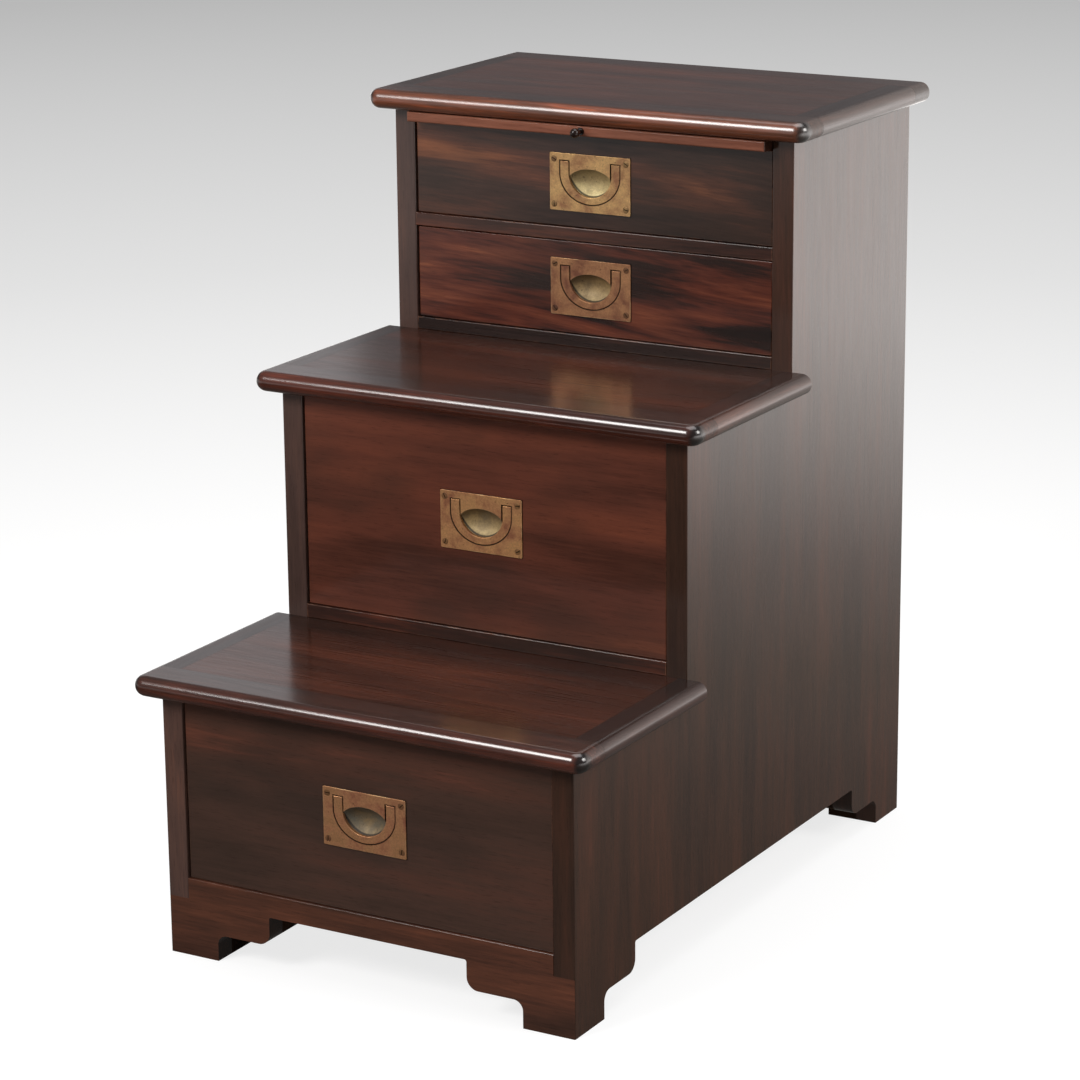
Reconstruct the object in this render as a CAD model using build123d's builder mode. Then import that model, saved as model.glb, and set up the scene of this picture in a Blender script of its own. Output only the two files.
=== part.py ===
"""Three-tier step chest: stepped side boards on bracket feet, three bullnosed treads, four drawers
with flush brass pulls, and a pull-out slide under the top tread.

Frame: +Z up, the floor at Z = 0, the front facing -Y, and the origin under the middle of the chest.
"""

import os
from math import floor, radians, sqrt, tan

from build123d import *

os.makedirs("parts", exist_ok=True)

# ---- driving dimensions, millimetres ---------------------------------------------------------
# carcass
body_width = 400.0  # over the outer faces of the two side boards
body_depth = 627.0  # from the front of the lowest tier to the back
going = 194.5  # each tier stands this far behind the one below it
side_thickness = 20.0
frame_thickness = 20.0  # aprons, front rails and the back frame, front to back
board_thickness = 12.0  # dust boards and bottom board
arris = 0.9  # softened edges of the carcass
joint_gap = 0.15  # hairline left between neighbouring boards of one tread
fit_gap = 0.1  # a panel loose in its frame

# bracket feet
foot_width = 49.0
foot_ledge_height = 24.0
bracket_length = 102.5
arch_height = 50.0
foot_cove_radius = 9.0
bracket_round_radius = 11.0
arch_corner_radius = 2.0
apron_band_height = 52.0  # below this the aprons run out to the corners, mitred to the sides

# heights up the front, from the floor to the underside of the top tread
apron_height = 70.5
lower_opening = 163.5
middle_rail_height = 12.5
middle_opening = 193.0
upper_rail_height = 11.5
upper_opening = 84.5
divider_rail_height = 12.0
top_opening = 84.6
slide_thickness = 9.0
slide_top_gap = 0.6

# treads
tread_thickness = 18.0
nosing_front = 20.0
nosing_side = 19.0
nosing_radius = 8.8
tread_corner = 12.0
tread_front_rail = 38.0
tread_side_rail = 27.0
tread_back_rail = 30.0

# back frame
back_stile_width = 46.0
back_rail_width = 46.0
back_panel_thickness = 9.0
back_panel_tongue = 6.0
back_panel_recess = 5.0

# drawers
drawer_gap = 1.0  # beside and above a drawer
run_gap = 0.3  # under a drawer and under the slide
drawer_recess = 2.5  # drawer fronts stand this far behind the face of their tier
drawer_front_thickness = 18.0
drawer_side_thickness = 10.0
drawer_back_thickness = 10.0
drawer_bottom_thickness = 6.0
drawer_bottom_raise = 8.0  # from the lower edge of the drawer to its bottom board
drawer_groove = 4.5
drawer_end_space = 5.0  # behind a closed drawer
drawer_side_drop = 3.0  # sides end this far below the front's top edge
dovetail_lap = 12.0
dovetail_pitch = 27.0
dovetail_share = 0.6
dovetail_angle = 9.0
stop_height = 5.0
stop_depth = 9.0
stop_width = 32.0
kicker_width = 20.0
bearer_width = 16.0
bearer_height = 6.0

# slide
slide_rest_out = 14.5  # the slide stands this far out of the face of its tier
slide_lipping = 26.0
slide_edge_radius = 1.4
slide_end_space = 20.0
knob_radius = 4.2
knob_reach = 10.5  # from the slide's edge to the middle of the knob
knob_neck_radius = 2.1
knob_collar_radius = 3.4
knob_collar_thickness = 1.2
knob_pin_radius = 1.6
knob_pin_length = 12.0

# flush pulls
plate_width = 81.0
plate_height = 51.5
plate_thickness = 2.5
plate_corner = 1.2
plate_proud = 1.2
plate_edge = 0.35
pull_fit = 0.25  # round the plate and its pocket in the drawer front
pocket_width = 68.0
pocket_height = 42.0
pocket_depth = 10.6
pocket_corner = 8.0
bail_half_width = 30.0
bail_arm_width = 8.6
bail_drop = 18.6  # from the plate's middle down to the lowest point of the bail
bail_bend_height = 7.8  # from the plate's middle up to where the arms start to bend
bail_inner_drop = 12.4
bail_thickness = 2.8
bail_sink = 0.1
bail_outer_gap = 0.4
bail_inner_gap = 1.0
bail_back_gap = 0.4
bail_edge = 0.5
bail_axis_height = 16.45  # from the plate's middle up to the hinge axis
bail_end_reach = 2.2  # the arms end this far above the axis
bail_axis_depth = 1.6
bail_sweep_gap = 0.44
trunnion_radius = 1.0
trunnion_length = 2.0
trunnion_fit = 0.05
dish_half_width = 23.0
dish_half_height = 13.8
dish_depth = 8.6
dish_height = -0.7  # the dish's middle, from the plate's middle
top_pull_lowering = 2.2  # the uppermost pull sits low, clear of the slide
screw_head_radius = 2.8
screw_shank_radius = 1.3
screw_length = 11.0
screw_point = 3.0
screw_head_angle = 82.0
screw_fit = 0.05
screw_head_gap = 0.2  # countersinks are this much wider than the heads, all round
screw_side_inset = 4.4
screw_end_inset = 5.5
screw_slot_width = 0.75
screw_slot_depth = 0.6
screw_slot_turns = (12.0, 52.0, 95.0, 136.0)  # degrees, no two slots left standing alike

# ---- places worked out from the sizes --------------------------------------------------------
front_y = -(body_depth - nosing_front) / 2
back_y = front_y + body_depth
inner_back_y = back_y - frame_thickness
middle_front_y = front_y + going
upper_front_y = front_y + 2 * going
opening_half = body_width / 2 - side_thickness
drawer_half = opening_half - drawer_gap

lower_floor = apron_height
lower_ceiling = lower_floor + lower_opening
lower_tread_top = lower_ceiling + tread_thickness
middle_floor = lower_tread_top + middle_rail_height
middle_ceiling = middle_floor + middle_opening
middle_tread_top = middle_ceiling + tread_thickness
upper_floor = middle_tread_top + upper_rail_height
upper_ceiling = upper_floor + upper_opening
top_floor = upper_ceiling + divider_rail_height
slide_floor = top_floor + top_opening
slide_bottom = slide_floor + run_gap
carcass_top = slide_bottom + slide_thickness + slide_top_gap
upper_tread_top = carcass_top + tread_thickness

# name: (face of its tier, floor, ceiling)
drawers = {
    "lower": (front_y, lower_floor, lower_ceiling),
    "middle": (middle_front_y, middle_floor, middle_ceiling),
    "upper": (upper_front_y, upper_floor, upper_ceiling),
    "top": (upper_front_y, top_floor, slide_floor),
}


def save(piece, name):
    """Label a finished piece and write its STEP file."""
    piece.label = name
    export_step(piece, f"parts/{name}.step")


def near(value, place):
    """True where a coordinate lies on a plane of the model."""
    return abs(value - place) < 1e-3


def block(x_min, x_max, y_min, y_max, z_min, z_max, mode=Mode.ADD):
    """A rectangular board given by its six faces, made in the part that is open."""
    centre = ((x_min + x_max) / 2, (y_min + y_max) / 2, (z_min + z_max) / 2)
    with Locations(centre):
        Box(x_max - x_min, y_max - y_min, z_max - z_min, mode=mode)


def bracket_underside(start, end):
    """Lower edge of an apron or side board: foot, coved step, rounded bracket and arch."""
    corners = [
        (start, 0),
        (start + foot_width, 0),
        (start + foot_width, foot_ledge_height),
        (start + bracket_length, foot_ledge_height),
        (start + bracket_length, arch_height),
        (end - bracket_length, arch_height),
        (end - bracket_length, foot_ledge_height),
        (end - foot_width, foot_ledge_height),
        (end - foot_width, 0),
        (end, 0),
    ]
    rounds = [0, foot_cove_radius, bracket_round_radius, arch_corner_radius]
    FilletPolyline(*corners, radius=rounds + rounds[::-1])


# ---- side boards: one stepped board each, grain upright ----------------------------------------
def side_board(side):
    """The left (-1) or right (+1) side board."""
    outer_x = side * body_width / 2
    inner_x = side * opening_half
    with BuildPart() as board:
        with BuildSketch(Plane.YZ.offset(min(outer_x, inner_x))):
            with BuildLine():
                bracket_underside(front_y, back_y)
                Polyline(
                    (back_y, 0),
                    (back_y, carcass_top),
                    (upper_front_y, carcass_top),
                    (upper_front_y, middle_ceiling),
                    (middle_front_y, middle_ceiling),
                    (middle_front_y, lower_ceiling),
                    (front_y, lower_ceiling),
                    (front_y, 0),
                )
            make_face()
        extrude(amount=side_thickness)
        faces_y = (front_y, middle_front_y, upper_front_y, back_y)
        upright = board.edges().filter_by(Axis.Z)
        fillet([e for e in upright if any(near(e.center().Y, y) for y in faces_y)], arris)
        for corner_y, inward in ((front_y, 1), (back_y, -1)):
            with BuildSketch(Plane.XY):
                with BuildLine():
                    Polyline(
                        (outer_x, corner_y),
                        (inner_x, corner_y),
                        (inner_x, corner_y + inward * frame_thickness),
                        close=True,
                    )
                make_face()
            extrude(amount=apron_band_height, mode=Mode.SUBTRACT)
    return board.part


# ---- aprons with bracket feet, mitred to the side boards ----------------------------------------
def apron(face_y, inward, floor_z):
    """The front or back apron; inward is +1 where the chest lies behind the face, else -1."""
    half = body_width / 2
    plane_y = face_y if inward < 0 else face_y + frame_thickness
    with BuildPart() as board:
        with BuildSketch(Plane.XZ.offset(-plane_y)):
            with BuildLine():
                bracket_underside(-half, half)
                Polyline(
                    (half, 0),
                    (half, apron_band_height),
                    (opening_half, apron_band_height),
                    (opening_half, floor_z),
                    (-opening_half, floor_z),
                    (-opening_half, apron_band_height),
                    (-half, apron_band_height),
                    (-half, 0),
                )
            make_face()
        extrude(amount=frame_thickness)
        outline = board.edges().filter_by(lambda e: near(e.center().Y, face_y))
        corners = [e for e in board.edges().filter_by(Axis.Z) if near(abs(e.center().X), half)]
        shown = [e for e in corners if near(e.center().Y, face_y)]
        fillet(shown + list(outline.filter_by(Axis.X).sort_by(Axis.Z)[-1:]), arris)
        for side in (-1, 1):
            with BuildSketch(Plane.XY):
                with BuildLine():
                    Polyline(
                        (side * half, face_y),
                        (side * half, face_y + inward * frame_thickness),
                        (side * opening_half, face_y + inward * frame_thickness),
                        close=True,
                    )
                make_face()
            extrude(amount=apron_band_height, mode=Mode.SUBTRACT)
    return board.part


for name, side in (("side_board_left", -1), ("side_board_right", 1)):
    save(side_board(side), name)
save(apron(front_y, 1, lower_floor), "front_apron")
save(apron(back_y, -1, lower_floor), "back_apron")

# ---- corner blocks behind the bracket feet, cut to the same profile up to the bottom board -------
bottom_board_under = lower_floor - board_thickness


def block_outline(start):
    """Half of the bracket profile, in the line that is open, measured from a corner of the chest."""
    corners = [
        (start, 0),
        (foot_width, 0),
        (foot_width, foot_ledge_height),
        (bracket_length, foot_ledge_height),
        (bracket_length, bottom_board_under),
    ]
    FilletPolyline(*corners, radius=[0, foot_cove_radius, bracket_round_radius])
    Polyline(corners[-1], (start, bottom_board_under), corners[0])


def corner_block(side, face_y, inward):
    """The block in one corner: a run behind the apron and a run behind the side board."""
    corner_x = side * body_width / 2
    apron_back = (corner_x, face_y + inward * frame_thickness, 0)
    board_inside = (side * opening_half, face_y, 0)
    with BuildPart() as corner:
        with BuildSketch(Plane(origin=apron_back, x_dir=(-side, 0, 0), z_dir=(0, side, 0))):
            with BuildLine():
                block_outline(side_thickness)
            make_face()
        extrude(amount=side * inward * (foot_width - frame_thickness))
        with BuildSketch(Plane(origin=board_inside, x_dir=(0, inward, 0), z_dir=(inward, 0, 0))):
            with BuildLine():
                block_outline(frame_thickness)
            make_face()
        extrude(amount=-side * inward * (foot_width - side_thickness))
    return corner.part


with BuildPart() as foot_blocks:
    for side in (-1, 1):
        add(corner_block(side, front_y, 1))
        add(corner_block(side, back_y, -1))
save(foot_blocks.part, "foot_blocks")


# ---- front rails and the boards behind them, on which the drawers run ---------------------------
def front_rail(face_y, z_min, z_max):
    """A rail across the front of a tier, its two front arrises softened."""
    with BuildPart() as rail:
        block(-opening_half, opening_half, face_y, face_y + frame_thickness, z_min, z_max)
        fillet(rail.faces().sort_by(Axis.Y)[0].edges().filter_by(Axis.X), arris)
    return rail.part


def running_board(face_y, z_top):
    """The board behind a rail, from the rail to the back frame."""
    with BuildPart() as board:
        block(
            -opening_half,
            opening_half,
            face_y + frame_thickness,
            inner_back_y,
            z_top - board_thickness,
            z_top,
        )
    return board.part


save(front_rail(middle_front_y, lower_tread_top, middle_floor), "middle_rail")
save(front_rail(upper_front_y, middle_tread_top, upper_floor), "upper_rail")
save(front_rail(upper_front_y, upper_ceiling, top_floor), "divider_rail")
save(running_board(front_y, lower_floor), "bottom_board")
save(running_board(middle_front_y, middle_floor), "middle_running_board")
save(running_board(upper_front_y, upper_floor), "upper_running_board")
save(running_board(upper_front_y, top_floor), "divider_board")

# strips above the two deep drawers that keep them level when they are drawn out
with BuildPart() as kickers:
    for side in (-1, 1):
        x_range = sorted((side * opening_half, side * (opening_half - kicker_width)))
        lower_top = middle_floor - board_thickness
        middle_top = upper_floor - board_thickness
        lower_start = middle_front_y + frame_thickness
        middle_start = upper_front_y + frame_thickness
        block(*x_range, lower_start, inner_back_y, lower_ceiling, lower_top)
        block(*x_range, middle_start, inner_back_y, middle_ceiling, middle_top)
save(kickers.part, "drawer_kickers")

# strips that carry the slide, behind the front of the top drawer
bearer_start = upper_front_y + drawer_recess + drawer_front_thickness + drawer_gap
with BuildPart() as slide_bearers:
    for side in (-1, 1):
        x_range = sorted((side * opening_half, side * (opening_half - bearer_width)))
        block(*x_range, bearer_start, inner_back_y, slide_floor - bearer_height, slide_floor)
save(slide_bearers.part, "slide_bearers")

# stop blocks behind the drawer fronts, two to a drawer
with BuildPart() as stops:
    for face_y, floor_z, ceiling_z in drawers.values():
        stop_y = face_y + drawer_recess + drawer_front_thickness + run_gap
        for side in (-1, 1):
            middle_x = side * opening_half / 2
            x_range = (middle_x - stop_width / 2, middle_x + stop_width / 2)
            block(*x_range, stop_y, stop_y + stop_depth, floor_z, floor_z + stop_height)
save(stops.part, "drawer_stops")

# ---- back: a frame of stiles and rails with two loose panels ------------------------------------
back_middle_z = middle_floor - back_rail_width / 2
back_rails_z = (lower_floor, back_middle_z, carcass_top - back_rail_width)
stile_inner_x = opening_half - back_stile_width
panel_front_y = back_y - back_panel_recess - back_panel_thickness

with BuildPart() as back_stiles:
    for side in (-1, 1):
        x_range = sorted((side * opening_half, side * stile_inner_x))
        block(*x_range, inner_back_y, back_y, lower_floor, carcass_top)
    for low_z, high_z in zip(back_rails_z, back_rails_z[1:]):
        block(
            -stile_inner_x - back_panel_tongue,
            stile_inner_x + back_panel_tongue,
            panel_front_y - fit_gap,
            panel_front_y + back_panel_thickness + fit_gap,
            low_z + back_rail_width - back_panel_tongue,
            high_z + back_panel_tongue,
            mode=Mode.SUBTRACT,
        )
save(back_stiles.part, "back_stiles")

with BuildPart() as back_rails:
    for low_z in back_rails_z:
        block(
            -stile_inner_x,
            stile_inner_x,
            inner_back_y,
            back_y,
            low_z,
            low_z + back_rail_width,
        )
    for low_z, high_z in zip(back_rails_z, back_rails_z[1:]):
        block(
            -stile_inner_x,
            stile_inner_x,
            panel_front_y - fit_gap,
            panel_front_y + back_panel_thickness + fit_gap,
            low_z + back_rail_width - back_panel_tongue,
            high_z + back_panel_tongue,
            mode=Mode.SUBTRACT,
        )
save(back_rails.part, "back_rails")

with BuildPart() as back_panels:
    for low_z, high_z in zip(back_rails_z, back_rails_z[1:]):
        block(
            -stile_inner_x - back_panel_tongue + fit_gap,
            stile_inner_x + back_panel_tongue - fit_gap,
            panel_front_y,
            panel_front_y + back_panel_thickness,
            low_z + back_rail_width - back_panel_tongue + fit_gap,
            high_z + back_panel_tongue - fit_gap,
        )
save(back_panels.part, "back_panels")


# ---- treads: a bullnosed frame round a flush panel ----------------------------------------------
def tread_blank(face_y, end_y, top_z):
    """The whole tread as one board, its front and ends rounded over."""
    width = body_width + 2 * nosing_side
    depth = end_y - face_y + nosing_front
    with BuildPart() as blank:
        with BuildSketch(Plane.XY.offset(top_z - tread_thickness)) as plan:
            with Locations((0, end_y - depth / 2)):
                Rectangle(width, depth)
            fillet(plan.vertices().group_by(Axis.Y)[0], tread_corner)
        extrude(amount=tread_thickness)
        flats = blank.faces().filter_by(Axis.Z)
        nosed = [e for e in flats.edges() if not near(e.center().Y, end_y)]
        fillet(nosed, nosing_radius)
    return blank.part


def tread_pieces(name, face_y, end_y, top_z, panel_end_y, back_rail):
    """Cut a tread blank into its rails and its panel, and save them."""
    under_z = top_z - tread_thickness
    blank = tread_blank(face_y, end_y, top_z)
    rail_y = face_y - nosing_front + tread_front_rail
    side_end_y = end_y - back_rail
    outer_x = body_width / 2 + nosing_side
    rail_x = outer_x - tread_side_rail

    with BuildPart() as front_piece:
        add(blank)
        block(-outer_x, outer_x, face_y - nosing_front, rail_y, under_z, top_z, Mode.INTERSECT)
    save(front_piece.part, f"{name}_tread_front")

    with BuildPart() as side_pieces:
        add(blank)
        side_start_y = rail_y + joint_gap
        block(-outer_x, outer_x, side_start_y, side_end_y, under_z, top_z, Mode.INTERSECT)
        block(-rail_x, rail_x, face_y, end_y, under_z, top_z, Mode.SUBTRACT)
    save(side_pieces.part, f"{name}_tread_sides")

    with BuildPart() as panel:
        panel_x = rail_x - joint_gap
        gap = joint_gap if back_rail else 0
        block(-panel_x, panel_x, rail_y + joint_gap, side_end_y - gap, under_z, top_z)
        if panel_end_y > end_y:
            block(-opening_half, opening_half, end_y, panel_end_y, under_z, top_z)
    save(panel.part, f"{name}_tread_panel")

    if back_rail:
        with BuildPart() as back_piece:
            add(blank)
            start_y = side_end_y + joint_gap
            block(-outer_x, outer_x, start_y, end_y, under_z, top_z, Mode.INTERSECT)
        save(back_piece.part, f"{name}_tread_back")


riser_seat = frame_thickness  # the lower panels run in under the rail of the next tier
tread_pieces(
    "lower", front_y, middle_front_y, lower_tread_top, middle_front_y + riser_seat, 0
)
tread_pieces(
    "middle", middle_front_y, upper_front_y, middle_tread_top, upper_front_y + riser_seat, 0
)
tread_pieces("upper", upper_front_y, back_y, upper_tread_top, back_y, tread_back_rail)

# ---- slide under the top tread: a board, its front lipping and a small knob ---------------------
slide_face_y = upper_front_y - slide_rest_out
slide_top = slide_bottom + slide_thickness
lipping_back_y = slide_face_y + slide_lipping

with BuildPart() as slide_lip:
    block(-drawer_half, drawer_half, slide_face_y, lipping_back_y, slide_bottom, slide_top)
    fillet(slide_lip.faces().sort_by(Axis.Y)[0].edges(), slide_edge_radius)
    with Locations(Plane((0, slide_face_y, slide_bottom + slide_thickness / 2), z_dir=(0, -1, 0))):
        Hole(knob_pin_radius + screw_fit, depth=knob_pin_length + screw_fit)
save(slide_lip.part, "slide_lipping")

with BuildPart() as slide_board:
    slide_end_y = inner_back_y - slide_end_space
    block(-drawer_half, drawer_half, lipping_back_y, slide_end_y, slide_bottom, slide_top)
save(slide_board.part, "slide_board")

knob_plane = Plane(
    origin=(0, slide_face_y, slide_bottom + slide_thickness / 2),
    x_dir=(1, 0, 0),
    z_dir=(0, 0, 1),
)
with BuildPart() as slide_knob:
    with BuildSketch(knob_plane):
        with BuildLine():
            neck_reach = sqrt(knob_radius**2 - knob_neck_radius**2)
            Polyline(
                (0, -knob_reach - knob_radius),
                (0, knob_pin_length),
                (knob_pin_radius, knob_pin_length),
                (knob_pin_radius, 0),
                (knob_collar_radius, 0),
                (knob_collar_radius, -knob_collar_thickness),
                (knob_neck_radius, -knob_collar_thickness),
                (knob_neck_radius, -knob_reach + neck_reach),
            )
            ThreePointArc(
                (knob_neck_radius, -knob_reach + neck_reach),
                (knob_radius, -knob_reach),
                (0, -knob_reach - knob_radius),
            )
        make_face()
    revolve(axis=Axis(knob_plane.origin, (0, 1, 0)))
save(slide_knob.part, "slide_knob")


# ---- drawers -------------------------------------------------------------------------------------
def dovetail_tails(face_y, low_z, high_z):
    """Tails at the front end of a drawer side, drawn in the open sketch from shoulder to tip."""
    count = max(2, floor((high_z - low_z) / dovetail_pitch))
    pitch = (high_z - low_z) / count
    tip_half = pitch * dovetail_share / 2
    root_half = tip_half - dovetail_lap * tan(radians(dovetail_angle))
    shoulder_y = face_y + drawer_front_thickness
    tip_y = shoulder_y - dovetail_lap
    for number in range(count):
        middle_z = low_z + pitch * (number + 0.5)
        Polygon(
            (shoulder_y, middle_z - root_half),
            (tip_y, middle_z - tip_half),
            (tip_y, middle_z + tip_half),
            (shoulder_y, middle_z + root_half),
            align=None,
        )


def drawer_front(face_y, low_z, high_z, side_top_z, pull_z):
    """Drawer front with dovetail sockets, a groove for the bottom and the pull let in."""
    with BuildPart() as front:
        back_of_front_y = face_y + drawer_front_thickness
        block(-drawer_half, drawer_half, face_y, back_of_front_y, low_z, high_z)
        fillet(front.faces().sort_by(Axis.Y)[0].edges(), arris)
        groove_x = drawer_half - drawer_side_thickness
        for start_x in (-drawer_half, groove_x):
            with BuildSketch(Plane.YZ.offset(start_x)):
                dovetail_tails(face_y, low_z, side_top_z)
            extrude(amount=drawer_side_thickness, mode=Mode.SUBTRACT)
        groove_z = low_z + drawer_bottom_raise
        block(
            -groove_x,
            groove_x,
            back_of_front_y - drawer_groove,
            back_of_front_y,
            groove_z,
            groove_z + drawer_bottom_thickness,
            mode=Mode.SUBTRACT,
        )
        pull_plane = Plane(origin=(0, face_y, pull_z), x_dir=(1, 0, 0), z_dir=(0, -1, 0))
        with BuildSketch(pull_plane):
            Rectangle(plate_width + 2 * pull_fit, plate_height + 2 * pull_fit)
        extrude(amount=-(plate_thickness - plate_proud), mode=Mode.SUBTRACT)
        with BuildSketch(pull_plane):
            RectangleRounded(
                pocket_width + 2 * pull_fit, pocket_height + 2 * pull_fit, pocket_corner
            )
        extrude(amount=-(pocket_depth - plate_proud + pull_fit), mode=Mode.SUBTRACT)
        with Locations(pull_plane):
            with Locations(*screw_places()):
                hole_depth = screw_length - plate_proud + screw_fit
                Hole(screw_shank_radius + screw_fit, depth=hole_depth)
    return front.part


def drawer_side(side, face_y, end_y, low_z, side_top_z):
    """Drawer side with its dovetails and the groove for the bottom."""
    x_range = sorted((side * drawer_half, side * (drawer_half - drawer_side_thickness)))
    inner_x = side * (drawer_half - drawer_side_thickness)
    groove_range = sorted((inner_x, inner_x + side * drawer_groove))
    with BuildPart() as board:
        shoulder_y = face_y + drawer_front_thickness
        block(*x_range, shoulder_y, end_y, low_z, side_top_z)
        with BuildSketch(Plane.YZ.offset(x_range[0])):
            dovetail_tails(face_y, low_z, side_top_z)
        extrude(amount=drawer_side_thickness)
        groove_z = low_z + drawer_bottom_raise
        block(
            *groove_range,
            shoulder_y,
            end_y,
            groove_z,
            groove_z + drawer_bottom_thickness,
            mode=Mode.SUBTRACT,
        )
    return board.part


def screw_places():
    """The four screws of a pull, from the plate's middle."""
    half_x = plate_width / 2 - screw_side_inset
    half_z = plate_height / 2 - screw_end_inset
    return [(x, z) for x in (-half_x, half_x) for z in (-half_z, half_z)]


# ---- flush pulls, drawn on the face of the plate -------------------------------------------------
bail_end_height = bail_axis_height + bail_end_reach
slot_end_height = bail_axis_height + sqrt(bail_end_reach**2 + bail_axis_depth**2) + bail_sweep_gap
slot_depth = bail_sink + bail_thickness + bail_back_gap
hinge_pocket_depth = bail_axis_depth + slot_end_height - bail_axis_height + bail_sink


def bow_outline(outer_half, outer_drop, inner_half, inner_drop, end_height):
    """A U with straight arms and an elliptical bend, in the sketch that is open."""
    with Locations((0, bail_bend_height)):
        Ellipse(outer_half, bail_bend_height + outer_drop)
    with Locations((0, bail_bend_height)):
        Rectangle(
            2 * outer_half,
            2 * (bail_bend_height + outer_drop),
            align=(Align.CENTER, Align.MIN),
            mode=Mode.SUBTRACT,
        )
        Rectangle(
            2 * outer_half, end_height - bail_bend_height, align=(Align.CENTER, Align.MIN)
        )
        Rectangle(
            2 * inner_half,
            end_height - bail_bend_height,
            align=(Align.CENTER, Align.MIN),
            mode=Mode.SUBTRACT,
        )
        Ellipse(inner_half, bail_bend_height + inner_drop, mode=Mode.SUBTRACT)


def pull_plate(plane):
    """Cast plate: flat flange, pocket behind it, slot for the bail and a dished finger hold."""
    inner_half = bail_half_width - bail_arm_width
    with BuildPart() as plate:
        with BuildSketch(plane):
            RectangleRounded(plate_width, plate_height, plate_corner)
        extrude(amount=-plate_thickness)
        fillet(plate.faces().sort_by(Axis.Y)[0].edges(), plate_edge)
        with BuildSketch(plane.offset(-plate_thickness)):
            RectangleRounded(pocket_width, pocket_height, pocket_corner)
        extrude(amount=-(pocket_depth - plate_thickness))
        with BuildSketch(plane):
            bow_outline(
                bail_half_width + bail_outer_gap,
                bail_drop + bail_outer_gap,
                inner_half - bail_inner_gap,
                bail_inner_drop - bail_inner_gap,
                slot_end_height,
            )
        extrude(amount=-slot_depth, mode=Mode.SUBTRACT)
        pocket_low = 2 * bail_axis_height - slot_end_height
        with BuildSketch(plane):
            for side in (-1, 1):
                arm_x = side * (bail_half_width - bail_arm_width / 2)
                gap_x = side * (bail_outer_gap - bail_inner_gap) / 2
                with Locations((arm_x + gap_x, (pocket_low + slot_end_height) / 2)):
                    Rectangle(
                        bail_arm_width + bail_outer_gap + bail_inner_gap,
                        slot_end_height - pocket_low,
                    )
        extrude(amount=-hinge_pocket_depth, mode=Mode.SUBTRACT)
        dish_radius = (dish_half_height**2 + dish_depth**2) / (2 * dish_depth)
        dish_length = dish_half_width * dish_radius / dish_half_height
        dish_plane = Plane(
            origin=plane.from_local_coords((0, dish_height, dish_radius - dish_depth)),
            x_dir=(1, 0, 0),
            z_dir=(0, -1, 0),
        )
        with BuildSketch(dish_plane):
            Ellipse(dish_length, dish_radius)
            Rectangle(
                2 * dish_length,
                2 * dish_radius,
                align=(Align.CENTER, Align.MAX),
                mode=Mode.SUBTRACT,
            )
        revolve(axis=Axis(dish_plane.origin, (1, 0, 0)), mode=Mode.SUBTRACT)
        centre = plane.from_local_coords((0, bail_axis_height, -bail_axis_depth))
        for side in (-1, 1):
            bore_start = (side * bail_half_width, centre.Y, centre.Z)
            with BuildSketch(Plane(origin=bore_start, x_dir=(0, 1, 0), z_dir=(side, 0, 0))):
                Circle(trunnion_radius + trunnion_fit)
            extrude(amount=trunnion_length + bail_outer_gap, mode=Mode.SUBTRACT)
        with Locations(plane):
            with Locations(*screw_places()):
                CounterSinkHole(
                    screw_shank_radius + screw_fit,
                    screw_head_radius + screw_head_gap,
                    counter_sink_angle=screw_head_angle,
                )
    return plate.part


def pull_bail(plane):
    """Swinging bail with a trunnion at the outer side of each arm."""
    with BuildPart() as bail:
        with BuildSketch(plane.offset(-bail_sink)):
            bow_outline(
                bail_half_width,
                bail_drop,
                bail_half_width - bail_arm_width,
                bail_inner_drop,
                bail_end_height,
            )
        extrude(amount=-bail_thickness)
        fillet(bail.faces().sort_by(Axis.Y)[0].edges(), bail_edge)
        centre = plane.from_local_coords((0, bail_axis_height, -bail_axis_depth))
        for side in (-1, 1):
            root = (side * (bail_half_width - bail_edge), centre.Y, centre.Z)
            with BuildSketch(Plane(origin=root, x_dir=(0, 1, 0), z_dir=(side, 0, 0))):
                Circle(trunnion_radius)
            extrude(amount=trunnion_length + bail_edge)
    return bail.part


def pull_screws(plane):
    """Four slotted countersunk wood screws."""
    head_height = (screw_head_radius - screw_shank_radius) / tan(radians(screw_head_angle / 2))
    with BuildPart() as screws:
        for number, (x, z) in enumerate(screw_places()):
            axis_point = plane.from_local_coords((x, z, 0))
            profile = Plane(origin=axis_point, x_dir=(1, 0, 0), z_dir=(0, 0, 1))
            with BuildSketch(profile):
                with BuildLine():
                    Polyline(
                        (0, 0),
                        (screw_head_radius, 0),
                        (screw_shank_radius, head_height),
                        (screw_shank_radius, screw_length - screw_point),
                        (0, screw_length),
                        close=True,
                    )
                make_face()
            revolve(axis=Axis(axis_point, (0, 1, 0)))
            with BuildSketch(plane):
                with Locations((x, z)):
                    Rectangle(
                        2 * screw_head_radius + screw_slot_width,
                        screw_slot_width,
                        rotation=screw_slot_turns[number],
                    )
            extrude(amount=-screw_slot_depth, mode=Mode.SUBTRACT)
    return screws.part


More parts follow.
